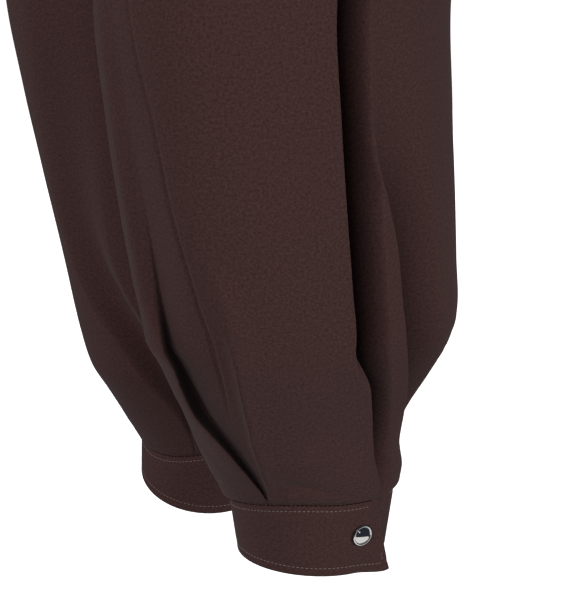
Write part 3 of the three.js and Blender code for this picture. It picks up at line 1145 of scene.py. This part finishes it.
@dataclass
class Cuff:
    """A snap cuff: one strip that laps over its own start."""

    leg: LegShape
    length: float = 360.0
    rows: int = 32
    columns: int = 260
    reach: float = 1.1
    end_column: float = 2.2
    row_inset: float = 5.2
    row_dent: float = 0.3
    row_reach: float = 2.4
    ditch: float = 1.1
    ditch_inset: float = 1.9
    ditch_reach: float = 1.7
    # The seam's stitches are long and thick so that they nearly join into a line of painted shade.
    ditch_shade_thread: tuple[float, float] = (2.3, 0.42)
    row_start: float = 26.0
    row_slant: float = 0.8
    row_points: int = 500
    end_inset: float = 6.5
    end_row_top: float = 0.76
    end_row_points: int = 60
    end_row_lift: float = 0.02
    snap_azimuth: float = 88.6
    snap_down: float = 0.485

    @property
    def name(self) -> str:
        """Names the cuff as its node is named."""
        return f"cuff_{self.leg.name}"

    def place(self, azimuth: np.ndarray, down: np.ndarray) -> np.ndarray:
        """Places the cuff's face, drawn in a little along its rows of stitches.

        Args:
            azimuth: Azimuths in degrees along the strip.
            down: Shares of the way down.
        Returns:
            Points in millimetres, before mirroring.
        """
        points = self.leg.cuff.point(azimuth, down)
        dent = np.zeros_like(down + azimuth)
        for row in (self.leg.cuff.top_row(azimuth, self.row_inset), 1.0 - self.row_inset / CUFF_WIDTH):
            dent = dent + self.row_dent * bump((down - row) * CUFF_WIDTH / self.row_reach)
        ditch = self.leg.cuff.top_row(azimuth, self.ditch_inset)
        dent = dent + self.ditch * bump((down - ditch) * CUFF_WIDTH / self.ditch_reach)
        x, y = radial(azimuth)
        return points - np.stack([x, y, np.zeros_like(x)], axis=-1) * dent[..., None]

    def build_stitches(self) -> bpy.types.Object:
        """Makes the rows of stitches near the cuff's top and bottom edges."""
        paths = [self.row(True, self.row_inset), self.row(False, self.row_inset)]
        return StitchRow(f"cuff_stitches_{self.leg.name}", paths).build()

    def build_seam_shade_stitches(self) -> bpy.types.Object:
        """Makes the hem seam's stitches in near-black thread, set almost end to end in the ditch so that
        they also paint the ditch's shade as a dark line.

        Returns:
            The new object.
        """
        name = f"cuff_seam_shade_stitches_{self.leg.name}"
        stitch, radius = self.ditch_shade_thread
        return StitchRow(name, [self.row(True, self.ditch_inset)], stitch=stitch, radius=radius).build()

    def build_end_stitches(self) -> bpy.types.Object:
        """Makes the row of stitches across the over end.

        Returns:
            The new object.
        """
        shape = self.leg.cuff
        down = np.linspace(self.end_row_top, 1.0 - self.row_inset / CUFF_WIDTH, self.end_row_points)
        azimuth = shape.over_end + FULL_TURN + shape.over_slant * down - self.end_inset
        path = surface_path(self.place, azimuth, down, self.leg.mirror)
        return StitchRow(f"cuff_end_stitches_{self.leg.name}", [path], lift=self.end_row_lift).build()

    def row(self, upper: bool, inset: float) -> tuple[np.ndarray, np.ndarray]:
        """Follows a row of stitches round the cuff.

        Args:
            upper: Whether it is a row below the leg's hem.
            inset: The row's distance from the hem or from the cuff's bottom edge.
        Returns:
            Points and outward normals.
        """
        shape = self.leg.cuff
        start = shape.over_end + self.row_start
        slant = 0.0 if upper else self.row_slant * shape.over_slant
        end = shape.over_end + FULL_TURN - self.end_inset + slant
        azimuth = np.linspace(start, end, self.row_points)
        down = np.full(self.row_points, 1.0 - inset / CUFF_WIDTH)
        if upper:
            down = shape.top_row(azimuth, inset)
        return surface_path(self.place, azimuth, down, self.leg.mirror)

    def build_snap(self) -> bpy.types.Object:
        """Makes the cuff's snap.

        Returns:
            The new object.
        """
        azimuth = np.array([self.snap_azimuth + FULL_TURN])
        down = np.array([self.snap_down])
        points, outward = surface_path(self.leg.cuff.point, azimuth, down, self.leg.mirror)
        return Snap(f"cuff_snap_{self.leg.name}", points[0], outward[0]).build()

    def build(self) -> bpy.types.Object:
        """Makes the cuff.

        Returns:
            The new object.
        """
        shape = self.leg.cuff
        down = strip_shares(self.reach, CUFF_WIDTH, 2 * self.reach / CUFF_WIDTH, self.rows)[:, None]
        run = strip_shares(self.reach, self.length, self.end_column / self.length, self.columns)
        start = shape.over_end - shape.under_lap
        end = shape.over_end + FULL_TURN + shape.over_slant * down
        azimuth = start + (end - start) * run[None, :]
        down = np.broadcast_to(down, azimuth.shape)
        outer = self.place(azimuth, down)
        inward = grid_normals(outer)
        outer[..., 0] *= self.leg.mirror
        inward[..., 0] *= self.leg.mirror
        fullness = strip_fullness(down, run, (CUFF_WIDTH, self.length), self.reach)
        return ShellMesh(self.name, outer, inward, fullness, CUFF_WALL, self.leg.mirror < 0).build()


@dataclass
class Waistband:
    """The waistband: one strip that laps over its own start at the front."""

    over_end: float = -14.0
    under_lap: float = 15.0
    step_turn: float = 10.0
    length: float = 760.0
    rows: int = 20
    columns: int = 300
    reach: float = 1.2
    edge_row: float = 0.07
    end_column: float = 0.0035
    snap_azimuth: float = 344.5
    snap_down: float = 0.5
    name: str = "waistband"

    def point(self, azimuth: np.ndarray, down: np.ndarray) -> np.ndarray:
        """Places the waistband's outer face.

        Args:
            azimuth: Azimuths in degrees along the strip, from its under end.
            down: Shares of the way from the top edge to the bottom one.
        Returns:
            Points in millimetres.
        """
        over = ease((azimuth - self.over_end) / self.step_turn)
        flank, front, back = BODY_RINGS.at(-down * WAISTBAND_WIDTH)
        radius = ring_radius(azimuth, flank, flank, front, back)
        radius = radius - (1.0 - over) * (WAISTBAND_WALL + LAP_GAP)
        x, y = radial(azimuth)
        return np.stack([radius * x, radius * y, -down * WAISTBAND_WIDTH], axis=-1)

    def build_snap(self) -> bpy.types.Object:
        """Makes the waistband's snap.

        Returns:
            The new object.
        """
        azimuth = np.array([self.snap_azimuth])
        points, outward = surface_path(self.point, azimuth, np.array([self.snap_down]), 1.0)
        return Snap("waist_snap", points[0], outward[0]).build()

    def build(self) -> bpy.types.Object:
        """Makes the waistband.

        Returns:
            The new object.
        """
        down = strip_shares(self.reach, WAISTBAND_WIDTH, self.edge_row, self.rows)[:, None]
        run = strip_shares(self.reach, self.length, self.end_column, self.columns)
        azimuth = self.over_end - self.under_lap + (FULL_TURN + self.under_lap) * run[None, :]
        azimuth = np.broadcast_to(azimuth, (len(down), len(run)))
        down = np.broadcast_to(down, azimuth.shape)
        outer = self.point(azimuth, down)
        fullness = strip_fullness(down, run, (WAISTBAND_WIDTH, self.length), self.reach)
        return ShellMesh(self.name, outer, grid_normals(outer), fullness, WAISTBAND_WALL, False).build()


@dataclass
class Snap:
    """A domed snap cap with a rolled rim, its back just off the cloth."""

    name: str
    place: np.ndarray
    outward: np.ndarray
    radius: float = 6.1
    height: float = 3.1
    rim: float = 0.62
    rim_turn: tuple[float, float] = (-80.0, 150.0)
    rim_points: int = 14
    dome_foot: float = 0.95
    dome_points: int = 16
    dome_power: float = 0.8
    gap: float = 0.3
    sides: int = 64

    def profile(self) -> list[tuple[float, float]]:
        """Lists the cap's section, from the middle of its back to the middle of its dome.

        Returns:
            Radii and heights in millimetres.
        """
        middle = self.radius - self.rim
        section = [(0.0, 0.0), (middle, 0.0)]
        for turn in np.radians(np.linspace(*self.rim_turn, self.rim_points)):
            section.append((middle + self.rim * math.cos(turn), self.rim * (1.0 + math.sin(turn))))
        foot = middle - self.rim
        dome = self.height - self.dome_foot
        for t in np.linspace(1.0, 0.0, self.dome_points):
            section.append((foot * t, self.dome_foot + dome * (1.0 - t * t) ** self.dome_power))
        return section

    def build(self) -> bpy.types.Object:
        """Makes the cap.

        Returns:
            The new object.
        """
        section = np.array(self.profile())
        turns = np.radians(np.arange(self.sides) * FULL_TURN / self.sides)
        axis = np.array(self.outward)
        across = Vector(self.outward).orthogonal().normalized()
        other = Vector(self.outward).cross(across)
        ring = np.cos(turns)[:, None] * np.array(across) + np.sin(turns)[:, None] * np.array(other)
        base = np.array(self.place) + self.gap * axis
        points = base + section[:, None, 1:] * axis + section[:, None, :1] * ring[None]
        cap = add_piece(self.name, points.reshape(-1, 3), tube_faces(len(section), self.sides))
        weld(cap, turn_out=True)
        return cap


def along_path(distance: float, length: np.ndarray, values: np.ndarray) -> np.ndarray:
    """Reads a path's values at a distance along it."""
    return np.array([np.interp(distance, length, column) for column in values.T])


@dataclass
class StitchRow:
    """Rows of thread laid on a piece: each stitch is a small capsule sunk a little into the cloth."""

    name: str
    rows: list[tuple[np.ndarray, np.ndarray]]
    pitch: float = 2.5
    stitch: float = 1.8
    radius: float = 0.24
    sides: int = 6
    lift: float = 0.12
    reach: float = 0.5
    stations: tuple[float, ...] = (-1.0, -0.86, -0.45, 0.45, 0.86, 1.0)
    girths: tuple[float, ...] = (0.05, 0.7, 1.0, 1.0, 0.7, 0.05)
    sinks: tuple[float, ...] = (-0.34, -0.16, 0.0, 0.0, -0.16, -0.34)

    def capsule(self) -> tuple[np.ndarray, np.ndarray]:
        """Makes one stitch along X, bent down at its ends.

        Returns:
            Points and faces.
        """
        turns = np.radians(np.arange(self.sides) * FULL_TURN / self.sides)
        stations = np.repeat(np.array(self.stations) * self.stitch / 2, self.sides)
        girths = np.array(self.girths)[:, None] * self.radius
        sinks = np.array(self.sinks)[:, None]
        across = (girths * np.cos(turns)).ravel()
        out = (sinks + girths * np.sin(turns)).ravel()
        return np.stack([stations, across, out], axis=-1), tube_faces(len(self.stations), self.sides)

    def build(self) -> bpy.types.Object:
        """Makes the rows as one mesh.

        Returns:
            The new object.
        """
        template, quads = self.capsule()
        points = []
        faces = []
        for path, normals in self.rows:
            length = np.concatenate([[0.0], np.cumsum(np.linalg.norm(np.diff(path, axis=0), axis=1))])
            for middle in np.arange(self.pitch / 2, length[-1] - self.stitch / 2, self.pitch):
                start, place, end = (
                    along_path(middle + shift, length, path) for shift in (-self.reach, 0.0, self.reach)
                )
                normal = along_path(middle, length, normals)
                along = end - start
                along /= np.linalg.norm(along)
                normal -= along * normal.dot(along)
                normal /= np.linalg.norm(normal)
                basis = np.stack([along, np.cross(normal, along), normal])
                faces.append(quads + len(points) * len(template))
                points.append(place + normal * self.lift + template @ basis)
        return add_piece(self.name, np.concatenate(points), np.concatenate(faces))


def surface_path(
    place: Callable[[np.ndarray, np.ndarray], np.ndarray],
    azimuth: np.ndarray,
    down: np.ndarray,
    mirror: float,
) -> tuple[np.ndarray, np.ndarray]:
    """Follows a path over a strip's outer face.

    Args:
        place: Places azimuths and shares of the way down.
        azimuth: Azimuths along the path, in degrees.
        down: Shares of the way down along the path.
        mirror: 1, or -1 for the other side's strip.
    Returns:
        Points and outward normals, mirrored.
    """
    points = place(azimuth, down)
    turn, drop = PATH_STEPS
    along = place(azimuth + turn, down) - place(azimuth - turn, down)
    below = place(azimuth, down + drop) - place(azimuth, down - drop)
    outward = np.cross(below, along)
    outward /= np.linalg.norm(outward, axis=-1, keepdims=True)
    side = np.array([mirror, 1.0, 1.0])
    return points * side, outward * side


@dataclass
class Camera:
    """The view of the photo, as a pinhole in metres."""

    place: tuple[float, float, float] = (0.83704, -0.63279, -0.62213)
    heading: float = 50.6256
    pitch: float = -13.0146
    lens: float = 111.6
    sensor: float = 36.0
    clip_end: float = 100.0

    def build(self) -> None:
        """Makes the camera and sets it as the scene's."""
        data = bpy.data.cameras.new("view")
        data.lens = self.lens
        data.sensor_width = self.sensor
        data.clip_end = self.clip_end
        thing = bpy.data.objects.new("view", data)
        thing.location = self.place
        turn = math.radians(self.heading)
        tilt = math.radians(self.pitch)
        ahead = Vector((-math.sin(turn) * math.cos(tilt), math.cos(turn) * math.cos(tilt), math.sin(tilt)))
        thing.rotation_euler = ahead.to_track_quat("-Z", "Y").to_euler()
        bpy.context.scene.collection.objects.link(thing)
        bpy.context.scene.camera = thing


@dataclass(frozen=True)
class Softbox:
    """One large soft lamp on a circle round the legs, a little above them."""

    name: str
    azimuth: float
    power: float
    elevation: float = 5.0
    distance: float = 2.6
    size: float = 1.6
    target: tuple[float, float, float] = (0.07, 0.0, -0.8)

    def build(self) -> None:
        """Makes the lamp."""
        data = bpy.data.lights.new(self.name, "AREA")
        data.shape = "SQUARE"
        data.size = self.size
        data.energy = self.power
        turn = math.radians(self.azimuth)
        lift = math.radians(self.elevation)
        away = Vector((math.cos(lift) * math.sin(turn), -math.cos(lift) * math.cos(turn), math.sin(lift)))
        lamp = bpy.data.objects.new(self.name, data)
        lamp.location = Vector(self.target) + self.distance * away
        lamp.rotation_euler = (-away).to_track_quat("-Z", "Y").to_euler()
        lamp.visible_glossy = False
        bpy.context.scene.collection.objects.link(lamp)


@dataclass(frozen=True)
class Card:
    """A round white card that only polished metal mirrors."""

    name: str
    place: tuple[float, float, float]
    facing: tuple[float, float, float]
    radius: float
    glow: float
    sides: int = 48

    def build(self) -> None:
        """Makes the card."""
        bpy.ops.mesh.primitive_circle_add(vertices=self.sides, radius=self.radius, fill_type="NGON")
        card = bpy.context.active_object
        card.name = self.name
        card.location = self.place
        card.rotation_euler = Vector(self.facing).to_track_quat("Z", "Y").to_euler()
        card.data.materials.append(PlainFinish(self.name, (0.0, 0.0, 0.0), 1.0, glow=self.glow).build())
        card.visible_camera = False
        card.visible_diffuse = False
        card.visible_shadow = False


@dataclass
class Studio:
    """The floor, the lamps, the cards and the surroundings."""

    floor_level: float = -1.09
    floor_size: float = 60.0
    floor_finish: PlainFinish = PlainFinish("floor", (0.9, 0.9, 0.9), 0.9, glow=1.05)
    sky: tuple[float, float, float, float] = (0.62, 0.7, 1.0, 1.0)
    sky_strength: float = 0.05
    cards: tuple[Card, ...] = (
        Card("low_card", (0.14, 0.01, -1.088), (0.0, 0.0, 1.0), 0.19, 1.0),
        Card("high_card", (1.337, -0.696, -0.464), (-0.81, 0.47, -0.34), 0.16, 1.6),
    )
    lamps: tuple[Softbox, ...] = (
        Softbox("key", 0.0, 27.0),
        Softbox("front", 30.0, 29.0, 14.0),
        Softbox("side", 110.0, 60.0),
        Softbox("rim", -60.0, 19.0),
        Softbox("back", 205.0, 18.0),
    )

    def build(self) -> None:
        """Makes the floor, the lamps and the world."""
        bpy.ops.mesh.primitive_plane_add(size=self.floor_size, location=(0.0, 0.0, self.floor_level))
        floor = bpy.context.active_object
        floor.name = "floor"
        floor.data.materials.append(self.floor_finish.build())
        floor.visible_diffuse = False
        floor.visible_glossy = False
        for card in self.cards:
            card.build()
        for lamp in self.lamps:
            lamp.build()
        world = bpy.data.worlds.new("studio")
        world.use_nodes = True
        background = world.node_tree.nodes["Background"]
        background.inputs["Color"].default_value = self.sky
        background.inputs["Strength"].default_value = self.sky_strength
        bpy.context.scene.world = world
        bpy.context.scene.view_settings.view_transform = "Standard"


def report(thing: bpy.types.Object) -> None:
    """Logs a piece's size."""
    LOG.info("%s: %d vertices, size %s", thing.name, len(thing.data.vertices), list(thing.dimensions))


@dataclass(frozen=True)
class Cut:
    """The size a piece of cloth was cut to and how it is held."""

    width: float
    length: float
    area: float
    held: str
    rests_on: tuple[str, ...] = ()

    def state(self, thing: bpy.types.Object, *stitches: bpy.types.Object) -> None:
        """Lists the pieces the cut rests on and keeps nothing; no cut is stated.

        Args:
            thing: The piece; not used.
            stitches: The stitches that go with it; not used.
        """
        list(self.rests_on)


CUTS = {
    "waistband": Cut(0.795, 0.039, 0.0298, "hung"),
    "front_left": Cut(0.335, 1.013, 0.2538, "gathered", ("waistband",)),
    "back_left": Cut(0.404, 1.029, 0.2777, "gathered", ("waistband",)),
    "cuff_left": Cut(0.324, 0.051, 0.0147, "hung", ("front_left", "back_left")),
    "front_right": Cut(0.336, 1.009, 0.2453, "gathered", ("waistband",)),
    "back_right": Cut(0.400, 1.025, 0.2644, "gathered", ("waistband",)),
    "cuff_right": Cut(0.331, 0.051, 0.0148, "hung", ("front_right", "back_right")),
}


def fit(thing: bpy.types.Object, finish: bpy.types.Material, slot: str, *nodes: str) -> None:
    """Gives a piece its finish and its place in the frame.

    Args:
        thing: The piece.
        finish: Its material.
        slot: A slot name for its finish; not used.
        nodes: The nodes it stands for.
    """
    thing.data.materials.append(finish)
    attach(thing, "root")
    if nodes:
        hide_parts(*nodes)
    report(thing)


def main() -> None:
    """Builds every piece in order."""
    logging.basicConfig(level=logging.INFO)
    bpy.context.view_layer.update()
    cloth = ClothFinish().build()
    thread = THREAD.build()
    seam_shade_thread = SEAM_SHADE_THREAD.build()
    steel = STEEL.build()
    band = Waistband()
    waist = band.build()
    fit(waist, cloth, "cloth", band.name)
    CUTS[band.name].state(waist)
    fit(band.build_snap(), steel, "snap", "waist_snap")
    for leg in (LEFT_LEG, RIGHT_LEG):
        for side in Side:
            panel = Panel(leg, side)
            shell = panel.build()
            fit(shell, cloth, "cloth", panel.name)
            CUTS[panel.name].state(shell)
        cuff = Cuff(leg)
        strip = cuff.build()
        fit(strip, cloth, "cloth", cuff.name)
        fit(cuff.build_snap(), steel, "snap", f"cuff_snap_{leg.name}")
        stitches = [cuff.build_stitches(), cuff.build_end_stitches()]
        for row in stitches:
            fit(row, thread, "cloth")
        # Near-black seam stitches that also paint the ditch's shade.
        seam = cuff.build_seam_shade_stitches()
        fit(seam, seam_shade_thread, "cloth")
        CUTS[cuff.name].state(strip, *stitches, seam)
    Studio().build()
    Camera().build()


if __name__ == "__main__":
    main()
